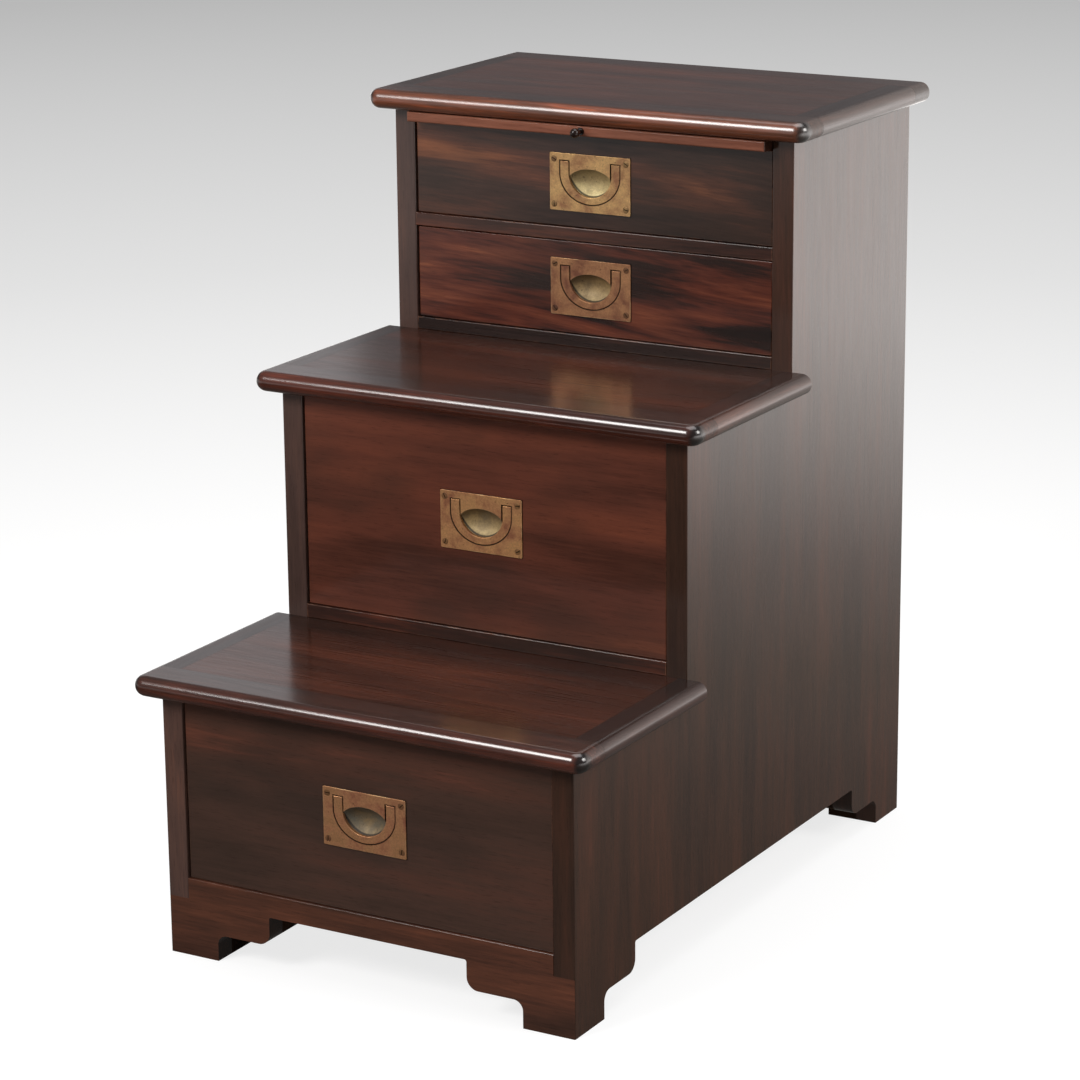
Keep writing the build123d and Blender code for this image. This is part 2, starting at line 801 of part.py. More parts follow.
for name, (tier_y, floor_z, ceiling_z) in drawers.items():
    face_y = tier_y + drawer_recess
    low_z = floor_z + run_gap
    high_z = ceiling_z - drawer_gap
    side_top_z = high_z - drawer_side_drop
    end_y = inner_back_y - drawer_end_space
    if name == "top":
        side_top_z = slide_floor - bearer_height - drawer_gap
    pull_z = (floor_z + ceiling_z) / 2
    if name == "top":
        pull_z -= top_pull_lowering
    save(drawer_front(face_y, low_z, high_z, side_top_z, pull_z), f"{name}_drawer_front")

    with BuildPart() as sides:
        for side in (-1, 1):
            add(drawer_side(side, face_y, end_y, low_z, side_top_z))
    save(sides.part, f"{name}_drawer_sides")

    inner_x = drawer_half - drawer_side_thickness
    bottom_z = low_z + drawer_bottom_raise
    bottom_x = inner_x + drawer_groove - fit_gap
    with BuildPart() as back:
        over_bottom_z = bottom_z + drawer_bottom_thickness
        block(
            -inner_x, inner_x, end_y - drawer_back_thickness, end_y, over_bottom_z, side_top_z
        )
    save(back.part, f"{name}_drawer_back")

    with BuildPart() as bottom:
        start_y = face_y + drawer_front_thickness
        block(
            -bottom_x,
            bottom_x,
            start_y,
            end_y,
            bottom_z,
            bottom_z + drawer_bottom_thickness,
        )
        block(
            -inner_x + fit_gap,
            inner_x - fit_gap,
            start_y - drawer_groove + fit_gap,
            start_y,
            bottom_z,
            bottom_z + drawer_bottom_thickness,
        )
    save(bottom.part, f"{name}_drawer_bottom")

    plate_face = Plane(origin=(0, face_y - plate_proud, pull_z), x_dir=(1, 0, 0), z_dir=(0, -1, 0))
    save(pull_plate(plate_face), f"{name}_pull_plate")
    save(pull_bail(plate_face), f"{name}_pull_bail")
    save(pull_screws(plate_face), f"{name}_pull_screws")
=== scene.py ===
import math
import bpy
from mathutils import Matrix, Vector


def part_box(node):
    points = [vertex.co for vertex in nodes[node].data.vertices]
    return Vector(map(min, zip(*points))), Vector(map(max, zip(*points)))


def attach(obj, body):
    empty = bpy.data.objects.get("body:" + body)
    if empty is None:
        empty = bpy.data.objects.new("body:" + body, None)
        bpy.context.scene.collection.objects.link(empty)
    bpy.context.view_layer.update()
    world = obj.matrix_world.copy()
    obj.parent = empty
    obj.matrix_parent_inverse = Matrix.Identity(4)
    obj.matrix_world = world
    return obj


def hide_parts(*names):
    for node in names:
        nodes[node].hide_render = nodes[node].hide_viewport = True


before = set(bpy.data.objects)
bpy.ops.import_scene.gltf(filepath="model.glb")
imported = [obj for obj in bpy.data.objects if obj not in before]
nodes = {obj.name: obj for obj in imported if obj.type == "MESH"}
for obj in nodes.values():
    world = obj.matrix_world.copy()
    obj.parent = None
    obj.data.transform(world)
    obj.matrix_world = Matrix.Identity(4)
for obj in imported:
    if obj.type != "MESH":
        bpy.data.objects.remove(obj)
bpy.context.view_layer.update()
scene = bpy.context.scene
print("frame loaded,", len(nodes), "nodes")


def tone(red, green, blue):
    # 0-255 display values to the linear values that sockets take
    def linear(value):
        value /= 255
        return value / 12.92 if value <= 0.04045 else ((value + 0.055) / 1.055) ** 2.4
    return (linear(red), linear(green), linear(blue), 1.0)


cameraSpec = {
    "place": (1.55692, -2.70197, 1.20442),
    "turn": 30.0139,   # degrees to the left of +Y
    "dip": 15.8392,    # degrees below level
    "roll": -0.5567,
    "lens": 122.272,
    "sensor": 36,
    "farEnd": 100,
}


def makeCamera(spec):
    turn, dip, roll = (math.radians(spec[key]) for key in ("turn", "dip", "roll"))
    ahead = Vector((-math.sin(turn) * math.cos(dip), math.cos(turn) * math.cos(dip), -math.sin(dip)))
    right = Vector((math.cos(turn), math.sin(turn), 0))
    up = right.cross(ahead)
    rolledRight = right * math.cos(roll) + up * math.sin(roll)
    rolledUp = up * math.cos(roll) - right * math.sin(roll)
    data = bpy.data.cameras.new("camera")
    data.lens = spec["lens"]
    data.sensor_width = spec["sensor"]
    data.clip_end = spec["farEnd"]
    camera = bpy.data.objects.new("camera", data)
    scene.collection.objects.link(camera)
    basis = Matrix((rolledRight, rolledUp, -ahead)).transposed().to_4x4()
    camera.matrix_world = Matrix.Translation(spec["place"]) @ basis
    scene.camera = camera


lampSpecs = {
    # name: place, aim, width, height, power, colour; the back one only shows in the polish
    "softboxLeft": ((-1.22, -2.72, 2.40), (0, -0.1, 0.4), 1.4, 1.15, 80, (1, 0.98, 0.96)),
    "overhead": ((0.2, 0.3, 3.2), (0, 0, 0), 2.2, 2.2, 36, (1, 1, 1)),
    "fillRight": ((2.7, 0.3, 1.9), (0, 0, 0.35), 1.2, 1.2, 42, (1, 0.97, 0.94)),
    "softboxBack": ((-1.94, 1.71, 0.95), (0, -0.1, 0.4), 1.1, 1.2, 2.0, (1, 0.98, 1)),
}


def makeLamps(specs):
    for name, (place, aim, width, height, power, colour) in specs.items():
        data = bpy.data.lights.new(name, "AREA")
        data.shape = "RECTANGLE"
        data.size = width
        data.size_y = height
        data.energy = power
        data.color = colour
        lamp = bpy.data.objects.new(name, data)
        scene.collection.objects.link(lamp)
        lamp.location = place
        lamp.rotation_euler = (Vector(aim) - Vector(place)).to_track_quat("-Z", "Y").to_euler()
        lamp.visible_camera = False
        lamp.visible_diffuse = name != "softboxBack"


scene.view_settings.view_transform = "Standard"
makeCamera(cameraSpec)
makeLamps(lampSpecs)
print("camera and lamps set")


def put(tree, kind, at, **settings):
    node = tree.nodes.new(kind)
    node.location = at
    for key, value in settings.items():
        setattr(node, key, value)
    return node


def feed(tree, operand, target):
    # the operand is a socket to link or a value to set
    if isinstance(operand, bpy.types.NodeSocket):
        tree.links.new(operand, target)
    elif operand is not None:
        target.default_value = operand


def make(tree, kind, at, operands, **settings):
    # a node with its inputs filled, by their names or numbers; gives its outputs
    node = put(tree, kind, at, **settings)
    for key, operand in operands.items():
        feed(tree, operand, node.inputs[key])
    return node.outputs


def newMaterial(name):
    material = bpy.data.materials.new(name)
    material.use_nodes = True
    material.node_tree.nodes.clear()
    return material, material.node_tree


def newGroup(name, inputs, outputs):
    group = bpy.data.node_groups.new(name, "ShaderNodeTree")
    for socketName, socketType, default in inputs:
        socket = group.interface.new_socket(socketName, in_out="INPUT", socket_type=socketType)
        if default is not None:
            socket.default_value = default
    for socketName in outputs:
        group.interface.new_socket(socketName, in_out="OUTPUT", socket_type="NodeSocketFloat")
    given = put(group, "NodeGroupInput", (-1800, 0)).outputs
    return group, given, put(group, "NodeGroupOutput", (900, 0)).inputs


def ramp(tree, at, value, stops):
    node = put(tree, "ShaderNodeValToRGB", at)
    elements = node.color_ramp.elements
    while len(elements) > 1:
        elements.remove(elements[-1])
    for index, (place, colour) in enumerate(stops):
        element = elements.new(place) if index else elements[0]
        element.position = place
        element.color = colour
    feed(tree, value, node.inputs["Fac"])
    return node.outputs["Color"]


def toneRamp(tree, at, value, stops):
    return ramp(tree, at, value, [(place, tone(*colour)) for place, colour in stops])


def sums(tree, at, operation, first, second=None, clamp=False):
    operands = {0: first, 1: second}
    return make(tree, "ShaderNodeMath", at, operands, operation=operation, use_clamp=clamp)[0]


def vectors(tree, at, operation, first, second=None):
    operands = {0: first, "Scale" if operation == "SCALE" else 1: second}
    outputs = make(tree, "ShaderNodeVectorMath", at, operands, operation=operation)
    return outputs["Value" if operation in ("DOT_PRODUCT", "LENGTH") else "Vector"]


def axes(tree, at, vector):
    return make(tree, "ShaderNodeSeparateXYZ", at, {0: vector})


def spread(tree, at, value, low, high, outLow=0.0, outHigh=1.0, kind="LINEAR"):
    operands = {"Value": value, "From Min": low, "From Max": high, "To Min": outLow, "To Max": outHigh}
    return make(tree, "ShaderNodeMapRange", at, operands, interpolation_type=kind)["Result"]


def noise(tree, at, vector, seed, scale, detail=2.0, roughness=0.5, distortion=0.0):
    operands = {"Vector": vector, "W": seed, "Scale": scale, "Detail": detail, "Roughness": roughness,
                "Distortion": distortion}
    return make(tree, "ShaderNodeTexNoise", at, operands, noise_dimensions="4D")


def blended(tree, at, factor, first, second, mode="MIX"):
    operands = {"Factor": factor, 6: first, 7: second}
    return make(tree, "ShaderNodeMix", at, operands, data_type="RGBA", blend_type=mode)[2]


def showByRay(tree, outputKind, lit, mirrored, seen):
    # lamps light the first shader, polish mirrors the second and the camera sees the third
    rays = put(tree, "ShaderNodeLightPath", (0, 600)).outputs
    operands = {"Fac": rays["Is Glossy Ray"], 1: lit, 2: mirrored}
    unseen = make(tree, "ShaderNodeMixShader", (400, -200), operands)[0]
    direct = sums(tree, (300, 500), "MAXIMUM", rays["Is Camera Ray"], rays["Is Transmission Ray"])
    mix = make(tree, "ShaderNodeMixShader", (600, 0), {"Fac": direct, 1: unseen, 2: seen})
    make(tree, outputKind, (800, 0), {"Surface": mix[0]})


floorSpec = {
    "radius": 40.0,
    "corners": 64,
    "seen": [(0.0, 255), (0.12, 254), (0.19, 247), (0.45, 225), (1.0, 190)],   # grey by distance
    "seenReach": 6.2,
    "glow": 0.78,                     # what the camera sees in any light
    "shaded": (0.29, 0.29, 0.29, 1),  # what takes the shadow
    "mirrored": [(0.0, (0.05, 0.05, 0.045, 1)), (0.2, (0.09, 0.085, 0.08, 1)),
                 (0.32, (0.13, 0.125, 0.115, 1)), (0.48, (0.24, 0.225, 0.215, 1)),
                 (0.73, (0.60, 0.57, 0.55, 1)), (1.0, (0.92, 0.88, 0.86, 1))],
    "mirroredReach": 2.6,
    "mirroredStrength": 2.5,
    "mirroredSides": [  # direction, span along it, share of the strength at its ends
        ((0.5, 0.866, 0), (-1.0, 0.6), (0.03, 1.0)),
        ((-1.0, -0.1, 0), (1.2, 2.1), (0.03, 0.3)),
    ],
    "bounce": tone(150, 150, 150),
}


def makeFloor(spec):
    mesh = bpy.data.meshes.new("floor")
    angles = [2 * math.pi * i / spec["corners"] for i in range(spec["corners"])]
    ring = [(spec["radius"] * math.cos(angle), spec["radius"] * math.sin(angle), 0) for angle in angles]
    mesh.from_pydata(ring, [], [tuple(range(spec["corners"]))])
    floor = bpy.data.objects.new("floor", mesh)
    scene.collection.objects.link(floor)
    material, tree = newMaterial("paleFloor")
    place = put(tree, "ShaderNodeTexCoord", (-1100, 0)).outputs["Object"]
    distance = vectors(tree, (-900, 100), "LENGTH", place)
    fade = toneRamp(tree, (-400, 100), spread(tree, (-650, 100), distance, 0, spec["seenReach"]),
                    [(at, (grey, grey, grey)) for at, grey in spec["seen"]])
    glow = make(tree, "ShaderNodeEmission", (0, 150), {"Color": fade, "Strength": spec["glow"]})
    dimmed = blended(tree, (-150, 20), 1.0, fade, spec["shaded"], "MULTIPLY")
    matte = make(tree, "ShaderNodeBsdfDiffuse", (0, 20), {"Color": dimmed})
    seen = make(tree, "ShaderNodeAddShader", (200, 100), {0: glow[0], 1: matte[0]})
    # what polish and brass mirror: dim near the chest and in front, bright far behind
    shares = []
    for row, (axis, span, share) in enumerate(spec["mirroredSides"]):
        along = vectors(tree, (-900, -400 - 200 * row), "DOT_PRODUCT", place, axis)
        shares.append(spread(tree, (-650, -400 - 200 * row), along, *span, *share))
    share = sums(tree, (-450, -500), "MAXIMUM", *shares)
    strength = sums(tree, (-250, -500), "MULTIPLY", share, spec["mirroredStrength"])
    reach = spread(tree, (-650, -200), distance, 0, spec["mirroredReach"])
    far = ramp(tree, (-400, -200), reach, spec["mirrored"])
    mirrored = make(tree, "ShaderNodeEmission", (0, -200), {"Color": far, "Strength": strength})
    lit = make(tree, "ShaderNodeBsdfDiffuse", (0, -350), {"Color": spec["bounce"]})
    showByRay(tree, "ShaderNodeOutputMaterial", lit[0], mirrored[0], seen[0])
    mesh.materials.append(material)


airSpec = {
    "seen": tone(187, 187, 187),
    "mirrored": (0.15, 0.145, 0.15, 1),
    "lit": (0.5, 0.5, 0.5, 1),
    "wall": (1.9, 1.78, 1.7, 1),     # what the polish mirrors of the far right of the studio
    "wallWay": (0.42, 0.907, 0),
    "wallSides": (0.62, 0.88),
    "wallTop": (0.68, 0.0),
}


def makeAir(spec):
    world = bpy.data.worlds.new("air")
    scene.world = world
    world.use_nodes = True
    tree = world.node_tree
    tree.nodes.clear()
    way = put(tree, "ShaderNodeTexCoord", (-900, 0)).outputs["Generated"]
    along = vectors(tree, (-700, 100), "DOT_PRODUCT", way, spec["wallWay"])
    upward = axes(tree, (-700, -100), way)[2]
    wall = sums(tree, (-300, 0), "MULTIPLY",
                spread(tree, (-500, 100), along, *spec["wallSides"], kind="SMOOTHSTEP"),
                spread(tree, (-500, -100), upward, *spec["wallTop"]))
    mirrored = blended(tree, (-150, 0), wall, spec["mirrored"], spec["wall"])
    shades = []
    for row, colour in enumerate((spec["lit"], mirrored, spec["seen"])):
        shades.append(make(tree, "ShaderNodeBackground", (0, -100 + 150 * row), {"Color": colour})[0])
    showByRay(tree, "ShaderNodeOutputWorld", *shades)


makeFloor(floorSpec)
makeAir(airSpec)
print("floor and air set")


grainSpec = {
    "drift": (0.45, 5.0),    # squeeze along the grain and scale of the slow bends
    "layers": {  # squeeze along the grain, scale, detail, roughness, distortion, range that counts
        "Figure": (0.10, 24.0, 4.0, 0.5, 0.5, (0.34, 0.68)),
        "Streaks": (0.06, 130.0, 5.0, 0.66, 0.0, (0.38, 0.64)),
        "Flecks": (0.055, 430.0, 2.0, 0.6, 0.0, (0.36, 0.66)),
        "Pores": (0.07, 1300.0, 1.0, 0.5, 0.0, (0.60, 0.70)),
        "Bloom": (0.5, 9.0, 3.0, 0.6, 0.0, (0.3, 0.7)),
    },
    "patches": (0.45, 0.62),
    "fibres": (0.012, 800.0),
    "poreHeight": -0.8,      # these two beside fibres of height 1
    "streakHeight": 0.3,
}


def makeBoardGrain(spec):
    # grain runs along the vector's X; the seed picks another board
    group, given, out = newGroup(
        "boardGrain",
        [("Vector", "NodeSocketVector", None), ("Seed", "NodeSocketFloat", 0.0),
         ("Waviness", "NodeSocketFloat", 0.02), ("Figure Size", "NodeSocketFloat", 1.0)],
        ["Figure", "Streaks", "Flecks", "Pores", "Bloom", "Patches", "Height"],
    )
    vector, seed = given["Vector"], given["Seed"]

    def squeezed(at, source, share):
        return vectors(group, at, "MULTIPLY", source, (share, 1, 1))

    squeeze, scale = spec["drift"]
    drift = noise(group, (-1350, 300), squeezed((-1550, 300), vector, squeeze), seed, scale)["Color"]
    centred = vectors(group, (-1200, 300), "SUBTRACT", drift, (0.5, 0.5, 0.5))
    across = vectors(group, (-1100, 450), "MULTIPLY", centred, (0, 1, 1))
    sway = vectors(group, (-1000, 300), "SCALE", across, given["Waviness"])
    bent = vectors(group, (-850, 300), "ADD", vector, sway)
    sized = vectors(group, (-700, 400), "SCALE", bent, given["Figure Size"])
    sources = {"Figure": sized, "Streaks": sized, "Flecks": bent}
    clouds, masks = {}, {}
    for row, (name, (squeeze, scale, *shape, span)) in enumerate(spec["layers"].items()):
        level = 750 - 250 * row
        source = squeezed((-550, level), sources.get(name, vector), squeeze)
        clouds[name] = noise(group, (-350, level), source, seed, scale, *shape)
        masks[name] = spread(group, (-150, level), clouds[name]["Fac"], *span)
        feed(group, masks[name], out[name])
    # the patches come from another channel of the bloom
    channels = make(group, "ShaderNodeSeparateColor", (-150, -400), {0: clouds["Bloom"]["Color"]})
    patches = spread(group, (50, -400), channels["Green"], *spec["patches"], kind="SMOOTHSTEP")
    feed(group, patches, out["Patches"])
    squeeze, scale = spec["fibres"]
    fibres = noise(group, (-350, -600), squeezed((-550, -600), vector, squeeze), seed, scale)["Fac"]
    grooves = sums(group, (50, -150), "MULTIPLY", masks["Pores"], spec["poreHeight"])
    ridges = sums(group, (50, 0), "MULTIPLY", masks["Streaks"], spec["streakHeight"])
    rise = sums(group, (200, -500), "ADD", grooves, fibres)
    feed(group, sums(group, (350, -300), "ADD", rise, ridges), out["Height"])
    return group


arrisSpec = {   # scale, detail and roughness of the rubbing, and the range that counts
    "noise": (70.0, 4.0, 0.65),
    "range": (0.46, 0.6),
}


def makeArrisWear(spec):
    # where two faces of a box-shaped board meet, rubbed unevenly; the vector is centred on the board
    group, given, out = newGroup(
        "arrisWear",
        [("Vector", "NodeSocketVector", None), ("Half Size", "NodeSocketVector", None),
         ("Width", "NodeSocketFloat", 0.0015), ("Seed", "NodeSocketFloat", 0.0)],
        ["Wear"],
    )
    size = vectors(group, (-1400, 100), "ABSOLUTE", given["Vector"])
    inset = vectors(group, (-1200, 100), "SUBTRACT", given["Half Size"], size)
    x, y, z = axes(group, (-1000, 100), inset)
    # the middle one of the three distances
    lowPair = sums(group, (-800, 250), "MINIMUM", x, y)
    highPair = sums(group, (-800, 50), "MAXIMUM", x, y)
    middle = sums(group, (-600, 150), "MAXIMUM", lowPair, sums(group, (-700, -100), "MINIMUM", highPair, z))
    close = spread(group, (-400, 150), middle, 0.0, given["Width"], 1.0, 0.0, "SMOOTHSTEP")
    rubbed = noise(group, (-600, -300), given["Vector"], given["Seed"], *spec["noise"])["Fac"]
    patches = spread(group, (-350, -300), rubbed, *spec["range"])
    feed(group, sums(group, (-100, 100), "MULTIPLY", close, patches), out["Wear"])
    return group


boardGrain = makeBoardGrain(grainSpec)
arrisWear = makeArrisWear(arrisSpec)


def rubArrises(tree, coords, box, seed, colour, spec):
    low, high = (Vector(corner) for corner in box)
    operands = {"Vector": coords["Object"], "Location": -(low + high) / 2}
    centred = make(tree, "ShaderNodeMapping", (-1450, -500), operands)[0]
    operands = {"Vector": centred, "Half Size": (high - low) / 2, "Width": spec["wearWidth"], "Seed": seed}
    wear = make(tree, "ShaderNodeGroup", (-1200, -500), operands, node_tree=arrisWear)["Wear"]
    rubbed = sums(tree, (-900, -500), "MULTIPLY", wear, spec["wearShare"])
    return blended(tree, (200, 200), rubbed, colour, tone(*spec["wearTone"]))


def finishSurface(tree, colour, rough, height, spec, more):
    operands = {"Distance": spec["bump"], "Strength": spec["bumpStrength"], "Height": height}
    bump = make(tree, "ShaderNodeBump", (350, -450), operands)[0]
    operands = {"Base Color": colour, "Roughness": rough, "Normal": bump, **more}
    shader = make(tree, "ShaderNodeBsdfPrincipled", (600, 200), operands)
    make(tree, "ShaderNodeOutputMaterial", (900, 200), {"Surface": shader[0]})


grainTurns = {  # turn that lays each grain direction along X, and the direction itself
    "X": ((0, 0, 0), (1, 0, 0)),
    "Y": ((0, 0, -math.pi / 2), (0, 1, 0)),
    "Z": ((0, math.pi / 2, 0), (0, 0, 1)),
}

plainBoard = {
    "grain": "X",
    "seed": 0.0,
    "shift": (0, 0, 0),      # moves the figure over the board
    "tilt": 0.0,             # degrees that the figure leans across the board
    "waviness": 0.02,
    "figureSize": 1.0,
    "figureShare": 0.6,      # the rest is fine streaks
    "tones": [(0.0, (38, 22, 17)), (0.45, (72, 40, 29)), (0.8, (96, 56, 39)), (1.0, (112, 68, 46))],
    "endTone": (24, 14, 11),
    "endShare": 0.8,
    "endSpread": (0.55, 0.9),
    "fleckShare": 0.22,      # short fine lines
    "poreShade": 0.25,
    "poreTone": (18, 10, 8),
    "bloom": 0.25,           # slow change of lightness over the board
    "patchTone": (44, 34, 28),
    "patchShare": 0.3,       # dull patches in the colour
    "roughness": (0.30, 0.48),
    "coat": (0.88, 1.0),
    "coatRoughness": 0.14,
    "coatIor": 1.52,
    "underGloss": 0.03,      # sheen of the wood under its polish
    "bump": 0.00004,
    "bumpStrength": 0.8,
    "wearTone": (150, 100, 72),   # these three only where the board has a box
    "wearShare": 0.35,
    "wearWidth": 0.0012,
    "faceSpread": (0.15, 0.85),   # only with painted light on faces: a direction and the gain for faces that look along it
    "faceCoat": None,             # share of the coat that those faces keep
    "noseCorner": (0.018, 0.010),   # these three only with noseFront; depths behind it
    "noseReach": (0.009, 0.002),
    "noseUneven": (0.6, 1),         # shares of the nose's painted light
}


def figured(tree, grain, spec):
    # the colour of the wood's figure, before ends, faces and wear
    def swing(at, mask, share):
        return spread(tree, at, mask, 0, 1, -share / 2, share / 2)

    mainPart = sums(tree, (-950, 250), "MULTIPLY", grain["Figure"], spec["figureShare"])
    finePart = sums(tree, (-950, 100), "MULTIPLY", grain["Streaks"], 1 - spec["figureShare"])
    both = sums(tree, (-750, 200), "ADD", sums(tree, (-850, 250), "ADD", mainPart, finePart),
                swing((-950, -50), grain["Flecks"], spec["fleckShare"]))
    slow = swing((-750, 0), grain["Bloom"], spec["bloom"])
    level = sums(tree, (-600, 150), "ADD", both, slow, clamp=True)
    colour = toneRamp(tree, (-450, 200), level, spec["tones"])
    dull = sums(tree, (-450, 450), "MULTIPLY", grain["Patches"], spec["patchShare"])
    colour = blended(tree, (-250, 300), dull, colour, tone(*spec["patchTone"]))
    poreShade = sums(tree, (-450, -50), "MULTIPLY", grain["Pores"], spec["poreShade"])
    return blended(tree, (-150, 200), poreShade, colour, tone(*spec["poreTone"]))


def facing(tree, at, coords, direction):
    along = vectors(tree, at, "DOT_PRODUCT", coords["Normal"], direction)
    return sums(tree, (at[0] + 200, at[1]), "ABSOLUTE", along)


def behindNose(tree, at, coords, spec, part):
    depth = axes(tree, (at[0] - 200, at[1]), coords["Object"])[1]
    return spread(tree, at, depth, *(spec["noseFront"] + step for step in spec[part]))


def paintNoseLight(tree, coords, bloom, colour, spec):
    # painted light: the rounded nose is painted lighter than the top, unevenly along its length
    front = behindNose(tree, (-1200, -800), coords, spec, "noseReach")
    uneven = spread(tree, (-1200, -950), bloom, 0, 1, *spec["noseUneven"])
    nose = sums(tree, (-950, -850), "MULTIPLY", front, uneven)
    lighter = blended(tree, (200, 450), 1.0, colour, spec["noseLight"], "MULTIPLY")
    return blended(tree, (450, 350), nose, colour, lighter)


def makeWood(name, changes):
    spec = {**plainBoard, **changes}
    material, tree = newMaterial(name)
    coords = put(tree, "ShaderNodeTexCoord", (-1700, 0)).outputs
    turn, axis = grainTurns[spec["grain"]]
    turn = (turn[0], turn[1] + math.radians(spec["tilt"]), turn[2])
    operands = {"Vector": coords["Object"], "Rotation": turn, "Location": spec["shift"]}
    laid = make(tree, "ShaderNodeMapping", (-1450, 100), operands)[0]
    operands = {"Vector": laid, "Seed": spec["seed"], "Waviness": spec["waviness"],
                "Figure Size": spec["figureSize"]}
    grain = make(tree, "ShaderNodeGroup", (-1200, 100), operands, node_tree=boardGrain)
    colour = figured(tree, grain, spec)

    endMask = spread(tree, (-800, -250), facing(tree, (-1200, -250), coords, axis), *spec["endSpread"],
                     0, spec["endShare"], "SMOOTHSTEP")
    hasNose = "noseFront" in spec
    if hasNose:
        # the end grain of the nose is dark only round the corner, and that near-black corner is partly end
        # grain and partly a painted dark reflection
        corner = behindNose(tree, (-800, -400), coords, spec, "noseCorner")
        endMask = sums(tree, (-600, -300), "MULTIPLY", endMask, corner)
    colour = blended(tree, (50, 200), endMask, colour, tone(*spec["endTone"]))

    if "faceLight" in spec:
        # painted light: faces that look along one direction are painted lighter or darker than the rest, for
        # how light falls on them
        faceWay, gain = spec["faceLight"]
        faceMask = spread(tree, (-850, -1100), facing(tree, (-1200, -1100), coords, faceWay),
                          *spec["faceSpread"])
        if hasNose:
            elsewhere = sums(tree, (-650, -1200), "SUBTRACT", 1.0, corner)
            faceMask = sums(tree, (-500, -1100), "MULTIPLY", faceMask, elsewhere)
        faceLit = blended(tree, (50, 450), 1.0, colour, gain, "MULTIPLY")
        colour = blended(tree, (200, 600), faceMask, colour, faceLit)
    if "box" in spec:
        colour = rubArrises(tree, coords, spec["box"], spec["seed"], colour, spec)
    if hasNose:
        # painted light on the rounded nose
        colour = paintNoseLight(tree, coords, grain["Bloom"], colour, spec)

    rough = spread(tree, (200, -50), grain["Streaks"], 0, 1, *spec["roughness"])
    coat = spread(tree, (200, -250), grain["Flecks"], 0, 1, *spec["coat"])
    if spec["faceCoat"]:
        kept = spread(tree, (200, -350), faceMask, 0, 1, 1, spec["faceCoat"])
        coat = sums(tree, (350, -250), "MULTIPLY", coat, kept)
    finishSurface(tree, colour, rough, grain["Height"], spec, {
        "Coat Weight": coat, "Coat Roughness": spec["coatRoughness"], "Coat IOR": spec["coatIor"],
        "Specular IOR Level": spec["underGloss"],
    })
    return material


def dress(nodeName, material):
    for slot in nodes[nodeName].material_slots:
        slot.material = material


# one entry per visible board; what it doesn't name comes from plainBoard
darkCase = [(0.0, (48, 31, 23)), (0.45, (62, 40, 29)), (0.8, (74, 45, 32)), (1.0, (86, 50, 36))]
paleCase = [(0.0, (56, 40, 35)), (0.45, (70, 51, 45)), (0.8, (80, 57, 49)), (1.0, (92, 62, 51))]
apronCase = [(0.0, (42, 26, 20)), (0.5, (74, 45, 34)), (0.8, (92, 54, 39)), (1.0, (106, 62, 44))]
treadFrame = [(0.0, (32, 19, 15)), (0.45, (46, 27, 21)), (0.8, (60, 34, 26)), (1.0, (74, 41, 31))]
treadEdge = [(0.0, (26, 16, 13)), (0.45, (36, 22, 18)), (0.8, (50, 29, 23)), (1.0, (64, 37, 29))]
redTread = [(0.0, (40, 22, 16)), (0.45, (58, 31, 22)), (0.8, (76, 40, 28)), (1.0, (92, 50, 35))]
